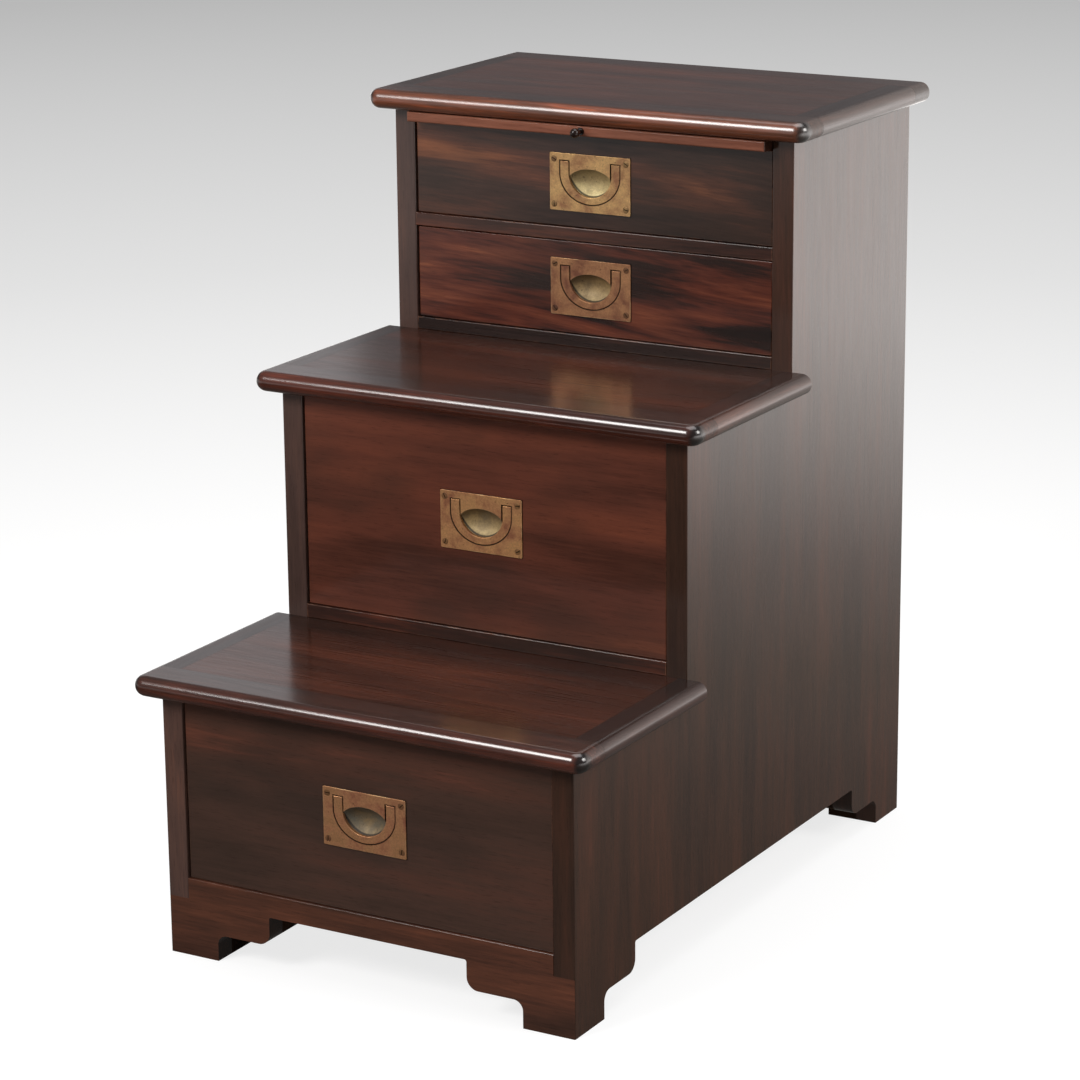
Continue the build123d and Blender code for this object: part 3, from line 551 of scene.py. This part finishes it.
boards = {
    "side_board_left": {
        "grain": "Z", "seed": 1.3, "tones": paleCase, "figureShare": 0.75, "coat": (0.94, 1.0),
        # painted light: faces of this board that look along Y are painted lighter and cooler
        "faceLight": ((0, 1, 0), (1.08, 1.13, 1.18, 1)),
    },
    "side_board_right": {
        "grain": "Z", "seed": 4.7, "tones": darkCase, "figureShare": 0.75, "coat": (0.94, 1.0),
        # painted shade: faces of this board that look along Y are painted darker
        "faceLight": ((0, 1, 0), (0.78, 0.84, 0.92, 1)),
    },
    "front_apron": {"seed": 2.2, "tones": apronCase, "figureSize": 0.9, "figureShare": 0.75},
    "back_apron": {"seed": 8.1},
    # the middle and upper rails, in the corner above a tread, are toned darker: partly their own tone,
    # partly painted shade and dark reflection
    "middle_rail": {"seed": 3.4, "tones": [(0.0, (30, 18, 15)), (0.6, (52, 29, 22)), (1.0, (92, 46, 32))]},
    "upper_rail": {"seed": 5.9, "tones": [(0.0, (24, 16, 14)), (0.6, (42, 27, 23)), (1.0, (70, 40, 31))]},
    "divider_rail": {"seed": 6.6, "tones": [(0.0, (36, 21, 17)), (0.5, (66, 37, 28)), (1.0, (104, 54, 36))]},
    "slide_board": {
        "seed": 12.1, "tones": [(0.0, (118, 74, 56)), (0.5, (144, 92, 70)), (1.0, (162, 106, 82))],
        "coat": (0.1, 0.2), "roughness": (0.45, 0.6),
    },
    "slide_lipping": {
        "seed": 12.9, "tones": [(0.0, (108, 64, 49)), (0.5, (138, 86, 67)), (1.0, (160, 102, 80))],
        "coat": (0.15, 0.3), "roughness": (0.42, 0.58), "endTone": (30, 19, 15),
    },
    "slide_knob": {"grain": "Y", "seed": 13.3, "tones": [(0.0, (22, 13, 10)), (1.0, (52, 32, 24))]},
    "lower_drawer_front": {
        "seed": 314.6, "shift": (0, 0, -0.035), "figureSize": 0.8, "figureShare": 0.75, "bloom": 0.5,
        "patchShare": 0.5, "patchTone": (48, 38, 33), "fleckShare": 0.16,
        "tones": [(0.0, (57, 42, 35)), (0.4, (68, 48, 40)), (0.8, (80, 51, 41)), (1.0, (98, 58, 45))],
    },
    "middle_drawer_front": {
        "seed": 200.0, "shift": (0, 0, 0.045), "figureSize": 0.9, "figureShare": 0.82, "bloom": 0.4,
        "patchShare": 0.55, "patchTone": (54, 38, 31), "fleckShare": 0.16,
        "tones": [(0.0, (66, 37, 28)), (0.4, (90, 49, 37)), (0.8, (106, 57, 41)), (1.0, (128, 70, 49))],
    },
    "upper_drawer_front": {
        "seed": 209.2, "shift": (0, 0, -0.03), "figureSize": 1.7, "figureShare": 0.88, "tilt": -4,
        "waviness": 0.035, "bloom": 0.25, "fleckShare": 0.14,
        "tones": [(0.0, (24, 14, 11)), (0.28, (42, 22, 17)), (0.5, (84, 39, 27)), (0.76, (110, 57, 38)),
                  (1.0, (152, 86, 52))],
    },
    "top_drawer_front": {
        "seed": 136.4, "figureSize": 1.2, "figureShare": 0.86, "tilt": -3,
        "waviness": 0.035, "bloom": 0.3, "fleckShare": 0.14, "patchShare": 0.4,
        "tones": [(0.0, (34, 23, 19)), (0.4, (58, 37, 29)), (0.7, (88, 50, 35)), (1.0, (132, 78, 49))],
    },
    "upper_tread_back": {"seed": 50.2, "tones": treadFrame, "endTone": (40, 25, 20)},
}
treadSpecs = {
    # seed, painted light on the nose, painted light on the sides; gloss of the front rail: roughness, index,
    # side share
    "lower": (41.0, (2.2, 1.4, 1.15, 1), (3.4, 3.8, 4.2, 1), (0.2, 1.8, 0.52)),
    "middle": (44.0, (2.5, 1.5, 1.2, 1), (3.8, 4.6, 5.0, 1), (0.2, 1.8, 0.52)),
    "upper": (47.0, (5.4, 3.7, 2.0, 1), (4.4, 5.6, 6.2, 1), (0.27, 2.0, 0.38)),
}
endMatch = (0.65, 0.73, 0.8)   # brings the painted light on the ends of a front rail to that of the side rails
sidesStep, panelStep = 0.7, 1.6   # from the front rail's seed to those of the side rails and the panel
for tier, (seed, noseLight, sideLight, (coatRoughness, coatIor, faceCoat)) in treadSpecs.items():
    endLight = tuple(gain * share for gain, share in zip(sideLight, endMatch)) + (1,)
    boards[tier + "_tread_front"] = {
        # the near-black end tone at the nose's corner is partly end grain and partly a painted dark
        # reflection
        "seed": seed, "tones": treadFrame, "endTone": (12, 7, 6), "endShare": 0.95, "endSpread": (0.2, 0.55),
        "noseFront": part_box(tier + "_tread_front")[0][1], "noseLight": noseLight, "fleckShare": 0.4,
        # painted light: the front rail's ends get the side rails' painted light
        "coatRoughness": coatRoughness, "coatIor": coatIor, "faceLight": ((1, 0, 0), endLight),
        "faceCoat": faceCoat,
    }
    boards[tier + "_tread_sides"] = {
        "grain": "Y", "seed": seed + sidesStep, "tones": treadEdge, "fleckShare": 0.15, "bump": 0.00002,
        # painted light: the side noses, facing X, are painted several times lighter in place of their sheen
        "faceLight": ((1, 0, 0), sideLight), "coatRoughness": 0.2,
    }
    boards[tier + "_tread_panel"] = {
        "seed": seed + panelStep, "tones": redTread, "figureSize": 0.7, "figureShare": 0.75,
        "coat": (0.8, 1.0), "bump": 0.00005, "coatRoughness": 0.17,
    }
boxed = ("middle_rail", "upper_rail", "divider_rail", "slide_lipping",
         "lower_drawer_front", "middle_drawer_front", "upper_drawer_front", "top_drawer_front")
for name, changes in boards.items():
    if name in boxed:
        changes["box"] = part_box(name)
    dress(name, makeWood(name + "_wood", changes))
print(len(boards), "polished boards dressed")

# plain wood inside and behind
plainWood = {
    "tones": [(0.0, (96, 68, 47)), (0.5, (132, 98, 70)), (1.0, (160, 124, 92))],
    "endTone": (92, 66, 46), "endShare": 0.6, "poreShade": 0.2, "figureSize": 0.8, "bloom": 0.2,
    "patchTone": (104, 76, 53), "patchShare": 0.35, "fleckShare": 0.16,
    "roughness": (0.6, 0.75), "coat": (0.0, 0.05), "coatRoughness": 0.4, "bump": 0.0002,
}
footWood = {
    **plainWood, "grain": "Z", "seed": 57.3,
    "tones": [(0.0, (24, 15, 12)), (0.5, (40, 26, 20)), (1.0, (58, 38, 28))],
}
drawerTiers = ("lower", "middle", "upper", "top")
linings = {
    "Y": ["drawer_kickers", "slide_bearers"] + [tier + "_drawer_sides" for tier in drawerTiers],
    "Z": ["back_stiles", "back_panels"],
    "X": ["bottom_board", "middle_running_board", "upper_running_board", "divider_board", "drawer_stops",
          "back_rails"] + [tier + "_drawer_" + part for tier in drawerTiers for part in ("back", "bottom")],
}
firstSeed, seedStep = 60, 1.7
count = 0
for grain, names in linings.items():
    for name in names:
        count += 1
        changes = {**plainWood, "grain": grain, "seed": firstSeed + seedStep * count}
        dress(name, makeWood(name + "_wood", changes))
dress("foot_blocks", makeWood("foot_blocks_wood", footWood))
print(count + 1, "plain boards dressed")


patinaSpec = {
    "layers": {  # scale, detail, roughness, distortion, range that counts
        "Tarnish": (48.0, 5.0, 0.62, 0.4, (0.38, 0.64)),
        "Specks": (250.0, 4.0, 0.7, 0.0, (0.6, 0.68)),
        "Mottle": (620.0, 3.0, 0.7, 0.0, (0.3, 0.7)),
    },
    "brushing": (0.08, 900.0, 3.0),   # squeeze, scale and detail of the fine lines
    "pitHeight": -0.7,                # of the specks, beside lines of height 1
}


def makeAgedBrass(spec):
    group, given, out = newGroup(
        "agedBrass",
        [("Vector", "NodeSocketVector", None), ("Seed", "NodeSocketFloat", 0.0)],
        ["Tarnish", "Specks", "Mottle", "Height"],
    )
    vector, seed = given["Vector"], given["Seed"]
    clouds, masks = {}, {}
    for row, (name, (*shape, span)) in enumerate(spec["layers"].items()):
        level = 300 - 250 * row
        clouds[name] = noise(group, (-600, level), vector, seed, *shape)["Fac"]
        masks[name] = spread(group, (-300, level), clouds[name], *span)
        feed(group, masks[name], out[name])
    squeeze, *shape = spec["brushing"]
    brushed = vectors(group, (-800, -450), "MULTIPLY", vector, (squeeze, 1, 1))
    lines = noise(group, (-600, -450), brushed, seed, *shape)["Fac"]
    pits = sums(group, (-100, -100), "MULTIPLY", masks["Specks"], spec["pitHeight"])
    uneven = sums(group, (100, -300), "ADD", lines, clouds["Mottle"])
    feed(group, sums(group, (250, -150), "ADD", pits, uneven), out["Height"])
    return group


bailSpec = {   # in metres, from the middle of the plate's face
    "Outer Half": (0.0302, 1, 0.0266),
    "Inner Half": (0.0209, 1, 0.0197),
    "Bend Height": 0.0078,
    "Top": 0.019,
    "Near": 0.0003,
    "Far": 0.001,
    "reach": {"Outer Half": 0.028, "Inner Half": -0.0203},   # metres per share of each half
}


def makeBailOutline(spec):
    # 1 along the outline of the bail and its slot
    inputs = [("Vector", "NodeSocketVector", None)]
    inputs += [(name, "NodeSocketVector", spec[name]) for name in ("Outer Half", "Inner Half")]
    inputs += [(name, "NodeSocketFloat", spec[name]) for name in ("Bend Height", "Top", "Near", "Far")]
    group, given, out = newGroup("bailOutline", inputs, ["Edge"])
    x, y, z = axes(group, (-1500, 0), given["Vector"])
    below = sums(group, (-1300, -200), "SUBTRACT", given["Bend Height"], z)
    operands = {0: x, 2: sums(group, (-1250, -50), "MAXIMUM", below, 0.0)}
    bent = make(group, "ShaderNodeCombineXYZ", (-1100, 0), operands)[0]
    distances = []
    for row, (name, reach) in enumerate(spec["reach"].items()):
        scaled = vectors(group, (-900, -200 * row), "DIVIDE", bent, given[name])
        length = vectors(group, (-700, -200 * row), "LENGTH", scaled)
        past = sums(group, (-500, -200 * row), "SUBTRACT", length, 1.0)
        distances.append(sums(group, (-350, -200 * row), "MULTIPLY", past, reach))
    above = sums(group, (-700, -450), "SUBTRACT", z, given["Top"])
    farthest = sums(group, (-100, -200), "MAXIMUM", sums(group, (-200, -100), "MAXIMUM", *distances), above)
    apart = sums(group, (100, -100), "ABSOLUTE", farthest)
    edge = spread(group, (300, 0), apart, given["Near"], given["Far"], 1.0, 0.0, "SMOOTHSTEP")
    feed(group, edge, out["Edge"])
    return group


agedBrass = makeAgedBrass(patinaSpec)
bailOutline = makeBailOutline(bailSpec)

brassSpec = {
    "flat": [(0.0, (228, 184, 130)), (1.0, (146, 100, 72))],   # bright and dull
    "speck": (62, 42, 28),
    "speckShare": 0.7,
    # painted shade: a dark line along the bail's outline and a dark fill in the slots
    "paintedShade": (34, 23, 16),
    "paintedShadeShare": 0.85,
    "paintedShadeWidth": (0.001, 0.0005),   # on the plate and on the bail
    "paintedShadeCore": 0.4,                # share of that width that is fully dark
    "roughness": (0.42, 0.58),       # these two bright and tarnished
    "metallic": (0.85, 0.5),
    "mottle": (0.8, 1.18),
    "dish": [(0.0, (104, 86, 56)), (0.5, (146, 128, 90)), (1.0, (182, 166, 124))],
    "dishMiddle": -0.0007,
    "dishHalf": (0.0232, 0.0139),
    "dishEdge": (0.96, 1.04),
    "dishMetal": 0.25,
    "dishRough": 0.1,
    "dishLight": (0.9, -0.7),        # heights in the dish where its light starts and ends
    "dishMottle": 0.5,
    "patina": (84, 90, 84),
    "wearTone": (232, 196, 146),
    "wearShare": 0.7,
    "wearWidth": 0.0009,
    "slotStart": 0.0006,             # deeper than this below the face is painted shade
    "screwSlotStart": 0.00022,
    "slotFade": 1.8,
    "bump": 0.00006,
    "bumpStrength": 0.6,
    "seedSteps": (0.9, 1.7),         # from the plate's seed to those of bail and screws
}
brassCasts = {  # seed, tint of the flat metal, tint of the dish (partly its own tone, partly painted light: lighter on the top pull, darker on the lowest), share of grey patina in the dish
    "top": (71.0, (1.0, 1.02, 0.96, 1), (2.1, 2.2, 2.2, 1), 0.15),
    "upper": (73.4, (0.66, 0.55, 0.58, 1), (1.2, 1.1, 1.05, 1), 0.2),
    "middle": (76.1, (0.92, 0.80, 0.74, 1), (1.25, 1.15, 1.05, 1), 0.3),
    "lower": (79.9, (0.92, 0.76, 0.78, 1), (0.74, 0.64, 0.6, 1), 0.6),
}


def makeDish(tree, x, z, tarnish, spec, tint, patinaShare):
    # squared distance from the dish's middle, 1 at its rim, and the colour inside
    across = sums(tree, (-1000, -150), "DIVIDE", x, spec["dishHalf"][0])
    height = sums(tree, (-1000, -300), "SUBTRACT", z, spec["dishMiddle"])
    upward = sums(tree, (-850, -300), "DIVIDE", height, spec["dishHalf"][1])
    ring = sums(tree, (-650, -200), "ADD", sums(tree, (-800, -150), "MULTIPLY", across, across),
                sums(tree, (-700, -350), "MULTIPLY", upward, upward))
    lowLight = spread(tree, (-650, -650), upward, *spec["dishLight"])
    mottled = sums(tree, (-450, -650), "MULTIPLY", tarnish, spec["dishMottle"])
    lightness = sums(tree, (-300, -700), "SUBTRACT", lowLight, mottled, clamp=True)
    colour = toneRamp(tree, (-200, -600), lightness, spec["dish"])
    # the tint is partly the dish's own tone and partly painted light, set per pull
    colour = blended(tree, (0, -600), 1.0, colour, tint, "MULTIPLY")
    greyed = sums(tree, (0, -750), "MULTIPLY", tarnish, patinaShare)
    return ring, blended(tree, (150, -600), greyed, colour, tone(*spec["patina"]))


def makeBrass(name, spec, middle, seed, tint, paintedShadeWidth=0.0, slotStart=None, dish=None, box=None):
    material, tree = newMaterial(name)
    coords = put(tree, "ShaderNodeTexCoord", (-1700, 0)).outputs
    operands = {"Vector": coords["Object"], "Location": -Vector(middle)}
    centred = make(tree, "ShaderNodeMapping", (-1500, 0), operands)[0]
    operands = {"Vector": centred, "Seed": seed}
    patina = make(tree, "ShaderNodeGroup", (-1200, 200), operands, node_tree=agedBrass)
    tarnish = patina["Tarnish"]
    flat = toneRamp(tree, (-900, 300), tarnish, spec["flat"])
    colour = blended(tree, (-600, 300), 1.0, flat, tint, "MULTIPLY")
    rough = spread(tree, (150, 0), tarnish, 0, 1, *spec["roughness"])
    metal = spread(tree, (150, 150), tarnish, 0, 1, *spec["metallic"])
    paintedShade = tone(*spec["paintedShade"])
    x, y, z = axes(tree, (-1200, -200), centred)
    if dish:
        ring, dishColour = makeDish(tree, x, z, tarnish, spec, *dish)
        inside = spread(tree, (-450, -200), ring, *spec["dishEdge"], 1, 0)
        rougher = sums(tree, (200, -100), "MULTIPLY", inside, spec["dishRough"])
        rough = sums(tree, (300, -50), "ADD", rough, rougher)
        dishMetal = spread(tree, (200, 50), inside, 0, 1, 1, spec["dishMetal"])
        metal = sums(tree, (300, 100), "MULTIPLY", metal, dishMetal)
        colour = blended(tree, (-350, 300), inside, colour, dishColour)
    shade = spread(tree, (-900, 50), patina["Mottle"], 0, 1, *spec["mottle"])
    colour = blended(tree, (-250, 300), 1.0, colour, shade, "MULTIPLY")
    if box:
        colour = rubArrises(tree, coords, box, seed, colour, spec)
    if paintedShadeWidth:
        # painted shade along the outline of the bail and its slot, where bail and plate meet
        operands = {"Vector": centred, "Near": paintedShadeWidth * spec["paintedShadeCore"], "Far": paintedShadeWidth}
        outline = make(tree, "ShaderNodeGroup", (-1200, -1150), operands, node_tree=bailOutline)[0]
        shadedOutline = sums(tree, (-900, -1150), "MULTIPLY", outline, spec["paintedShadeShare"])
        colour = blended(tree, (-100, 300), shadedOutline, colour, paintedShade)
    if slotStart:
        # painted shade in recesses deeper than the slot start
        deep = spread(tree, (-650, -500), y, slotStart, slotStart * spec["slotFade"])
        if dish:
            outside = spread(tree, (-550, -400), ring, *spec["dishEdge"])
            deep = sums(tree, (-450, -500), "MULTIPLY", deep, outside)
        colour = blended(tree, (-50, 300), deep, colour, paintedShade)
    specks = sums(tree, (-200, 100), "MULTIPLY", patina["Specks"], spec["speckShare"])
    colour = blended(tree, (150, 300), specks, colour, tone(*spec["speck"]))
    finishSurface(tree, colour, rough, patina["Height"], spec, {"Metallic": metal})
    return material


screwSpec = {
    "sizes": {   # in metres; named inputs of the tree
        "Head Radius": 0.0028,
        "Head Height": 0.001726,
        "Shank Radius": 0.0013,
        "Point Length": 0.003,
        "Length": 0.011,
        "Dome": 0.00018,
        "Slot Width": 0.0008,
        "Slot Depth": 0.0006,
    },
    "tipRadius": 0.00015,
    "slotReach": 2.5,            # in head radii
    "mesh": {"Vertices": 36, "Side Segments": 10, "Fill Segments": 4, "Radius": 1, "Depth": 1},
    "pointEnd": 0.3,             # how far up the blank point and shank end
    "shankEnd": 0.7,
    "capFrom": 0.999,            # above this lies the face that is domed
    "edgeRounding": 0.00006,
    "roundedFrom": 40,           # degrees
    "sharpFrom": 35,
    "inset": (0.0044, 0.0055),   # from the plate's sides and ends
    "turnSeeds": {"lower": 5, "middle": 11, "upper": 23, "top": 31},
    "darkening": 0.5,            # of the metal's tint
}


def shapeScrew(tree, given, spec):
    # a cylinder of radius and height 1, drawn out into point, shank and head
    blank = make(tree, "GeometryNodeMeshCylinder", (-1400, 300), spec["mesh"], fill_type="NGON")["Mesh"]
    x, y, z = axes(tree, (-1400, 0), put(tree, "GeometryNodeInputPosition", (-1600, 0)).outputs[0])
    along = sums(tree, (-1200, 0), "ADD", z, spec["mesh"]["Depth"] / 2)
    pointEnd, shankEnd = spec["pointEnd"], spec["shankEnd"]

    def calc(at, operation, first, second):
        return sums(tree, at, operation, first, second)

    def stretch(at, low, high, first, last):
        return spread(tree, at, along, low, high, first, last)

    headGain = calc((-1200, -200), "SUBTRACT", given["Head Radius"], given["Shank Radius"])
    radius = calc((-800, 200), "ADD",
                  stretch((-1000, 200), 0, pointEnd, spec["tipRadius"], given["Shank Radius"]),
                  stretch((-1000, 0), shankEnd, 1.0, 0.0, headGain))
    whole = calc((-1200, -350), "MULTIPLY", given["Length"], -1.0)
    pointTop = calc((-1200, -500), "SUBTRACT", given["Point Length"], given["Length"])
    afterPoint = calc((-1350, -650), "SUBTRACT", given["Length"], given["Point Length"])
    shankLength = calc((-1200, -650), "SUBTRACT", afterPoint, given["Head Height"])
    lowerParts = calc((-750, -200), "ADD",
                      stretch((-1000, -250), 0, pointEnd, whole, pointTop),
                      stretch((-1000, -450), pointEnd, shankEnd, 0.0, shankLength))
    headPart = stretch((-1000, -650), shankEnd, 1.0, 0.0, given["Head Height"])
    height = calc((-600, -300), "ADD", lowerParts, headPart)
    squares = [calc((-1050, -850 - 150 * row), "MULTIPLY", part, part) for row, part in enumerate((x, y))]
    inward = calc((-750, -850), "SUBTRACT", 1.0, calc((-900, -850), "ADD", *squares))
    dome = calc((-600, -850), "MULTIPLY", inward, given["Dome"])
    top = calc((-600, -1000), "GREATER_THAN", along, spec["capFrom"])
    height = calc((-400, -500), "ADD", height, calc((-450, -850), "MULTIPLY", dome, top))
    sideways = [calc((-500, 200 - 150 * row), "MULTIPLY", part, radius) for row, part in enumerate((x, y))]
    operands = {0: sideways[0], 1: sideways[1], 2: height}
    drawn = make(tree, "ShaderNodeCombineXYZ", (-300, 100), operands)[0]
    return make(tree, "GeometryNodeSetPosition", (-100, 300), {"Geometry": blank, "Position": drawn})[0]


def slotScrew(tree, given, body, spec):
    # the slot is cut by a bar whose middle lies on the face
    operands = {0: sums(tree, (-500, -150), "MULTIPLY", given["Head Radius"], spec["slotReach"]),
                1: given["Slot Width"], 2: sums(tree, (-500, -100), "MULTIPLY", given["Slot Depth"], 2.0)}
    cutSize = make(tree, "ShaderNodeCombineXYZ", (-300, -200), operands)[0]
    cutter = make(tree, "GeometryNodeMeshCube", (-100, -100), {"Size": cutSize})[0]
    return make(tree, "GeometryNodeMeshBoolean", (150, 200), {"Mesh 1": body, "Mesh 2": cutter},
                operation="DIFFERENCE", solver="EXACT")["Mesh"]


def placeScrews(tree, given, screw):
    # one screw on each point, its head towards -Y, no two slots turned alike
    turn = put(tree, "FunctionNodeRandomValue", (150, -200), data_type="FLOAT")
    turnSockets = {socket.name: socket for socket in turn.inputs if socket.enabled}
    for name, operand in (("Min", 0), ("Max", math.pi), ("Seed", given["Turn Seed"])):
        feed(tree, operand, turnSockets[name])
    turned = [socket for socket in turn.outputs if socket.enabled][0]
    angles = make(tree, "ShaderNodeCombineXYZ", (350, -200), {0: math.pi / 2, 1: turned})[0]
    operands = {"Points": given["Geometry"], "Instance": screw, "Rotation": angles}
    placed = make(tree, "GeometryNodeInstanceOnPoints", (600, 100), operands)[0]
    real = make(tree, "GeometryNodeRealizeInstances", (900, 100), {0: placed})[0]
    operands = {"Geometry": real, "Material": given["Finish"]}
    return make(tree, "GeometryNodeSetMaterial", (1200, 100), operands)[0]


def makeScrewTree(spec):
    tree = bpy.data.node_groups.new("slottedScrews", "GeometryNodeTree")

    def newInput(name, kind, default=None):
        socket = tree.interface.new_socket(name, in_out="INPUT", socket_type="NodeSocket" + kind)
        if default is not None:
            socket.default_value = default

    newInput("Geometry", "Geometry")
    for key, size in spec["sizes"].items():
        newInput(key, "Float", size)
    newInput("Turn Seed", "Int", spec["turnSeeds"]["lower"])
    newInput("Finish", "Material")
    tree.interface.new_socket("Geometry", in_out="OUTPUT", socket_type="NodeSocketGeometry")
    given = put(tree, "NodeGroupInput", (-1800, 0)).outputs
    screw = slotScrew(tree, given, shapeScrew(tree, given, spec), spec)
    make(tree, "NodeGroupOutput", (1600, 0), {"Geometry": placeScrews(tree, given, screw)})
    return tree


screwTree = makeScrewTree(screwSpec)


def makeScrews(tier, spec, middle, plateSize, finish):
    offsetX, offsetZ = (length / 2 - inset for length, inset in zip(plateSize, spec["inset"]))
    x, y, z = middle
    places = [(x + dx, y, z + dz) for dx in (-offsetX, offsetX) for dz in (-offsetZ, offsetZ)]
    seedMesh = bpy.data.meshes.new(tier + "ScrewPlaces")
    seedMesh.from_pydata(places, [], [])
    screws = bpy.data.objects.new(tier + "PullScrews", seedMesh)
    scene.collection.objects.link(screws)
    making = screws.modifiers.new("slottedScrews", "NODES")
    making.node_group = screwTree
    items = screwTree.interface.items_tree
    sockets = {item.name: item.identifier for item in items if item.in_out == "INPUT"}
    making[sockets["Turn Seed"]] = spec["turnSeeds"][tier]
    making[sockets["Finish"]] = finish
    rounding = screws.modifiers.new("rounding", "BEVEL")
    rounding.width = spec["edgeRounding"]
    rounding.segments = 2
    rounding.limit_method = "ANGLE"
    rounding.angle_limit = math.radians(spec["roundedFrom"])
    bpy.context.view_layer.update()
    evaluated = screws.evaluated_get(bpy.context.evaluated_depsgraph_get())
    mesh = bpy.data.meshes.new_from_object(evaluated)
    screws.modifiers.clear()
    screws.data = mesh
    mesh.shade_smooth()
    mesh.set_sharp_from_angle(angle=math.radians(spec["sharpFrom"]))
    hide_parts(tier + "_pull_screws")
    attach(screws, tier + "_drawer")


plateShadeWidth, bailShadeWidth = brassSpec["paintedShadeWidth"]
bailStep, screwStep = brassSpec["seedSteps"]
for tier, (seed, tint, dishToneAndLight, patinaShare) in brassCasts.items():
    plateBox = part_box(tier + "_pull_plate")
    low, high = (Vector(corner) for corner in plateBox)
    middle = ((low.x + high.x) / 2, low.y, (low.z + high.z) / 2)
    plateBrass = makeBrass(tier + "_plate_brass", brassSpec, middle, seed, tint, plateShadeWidth,
                           brassSpec["slotStart"], (dishToneAndLight, patinaShare), plateBox)
    dress(tier + "_pull_plate", plateBrass)
    bailBrass = makeBrass(tier + "_bail_brass", brassSpec, middle, seed + bailStep, tint, bailShadeWidth)
    dress(tier + "_pull_bail", bailBrass)
    worn = tuple(value * screwSpec["darkening"] for value in tint[:3]) + (1,)
    finish = makeBrass(tier + "_screw_brass", brassSpec, middle, seed + screwStep, worn,
                       slotStart=brassSpec["screwSlotStart"])
    makeScrews(tier, screwSpec, middle, (high.x - low.x, high.z - low.z), finish)
print("brass dressed,", len(brassCasts), "sets of screws made")
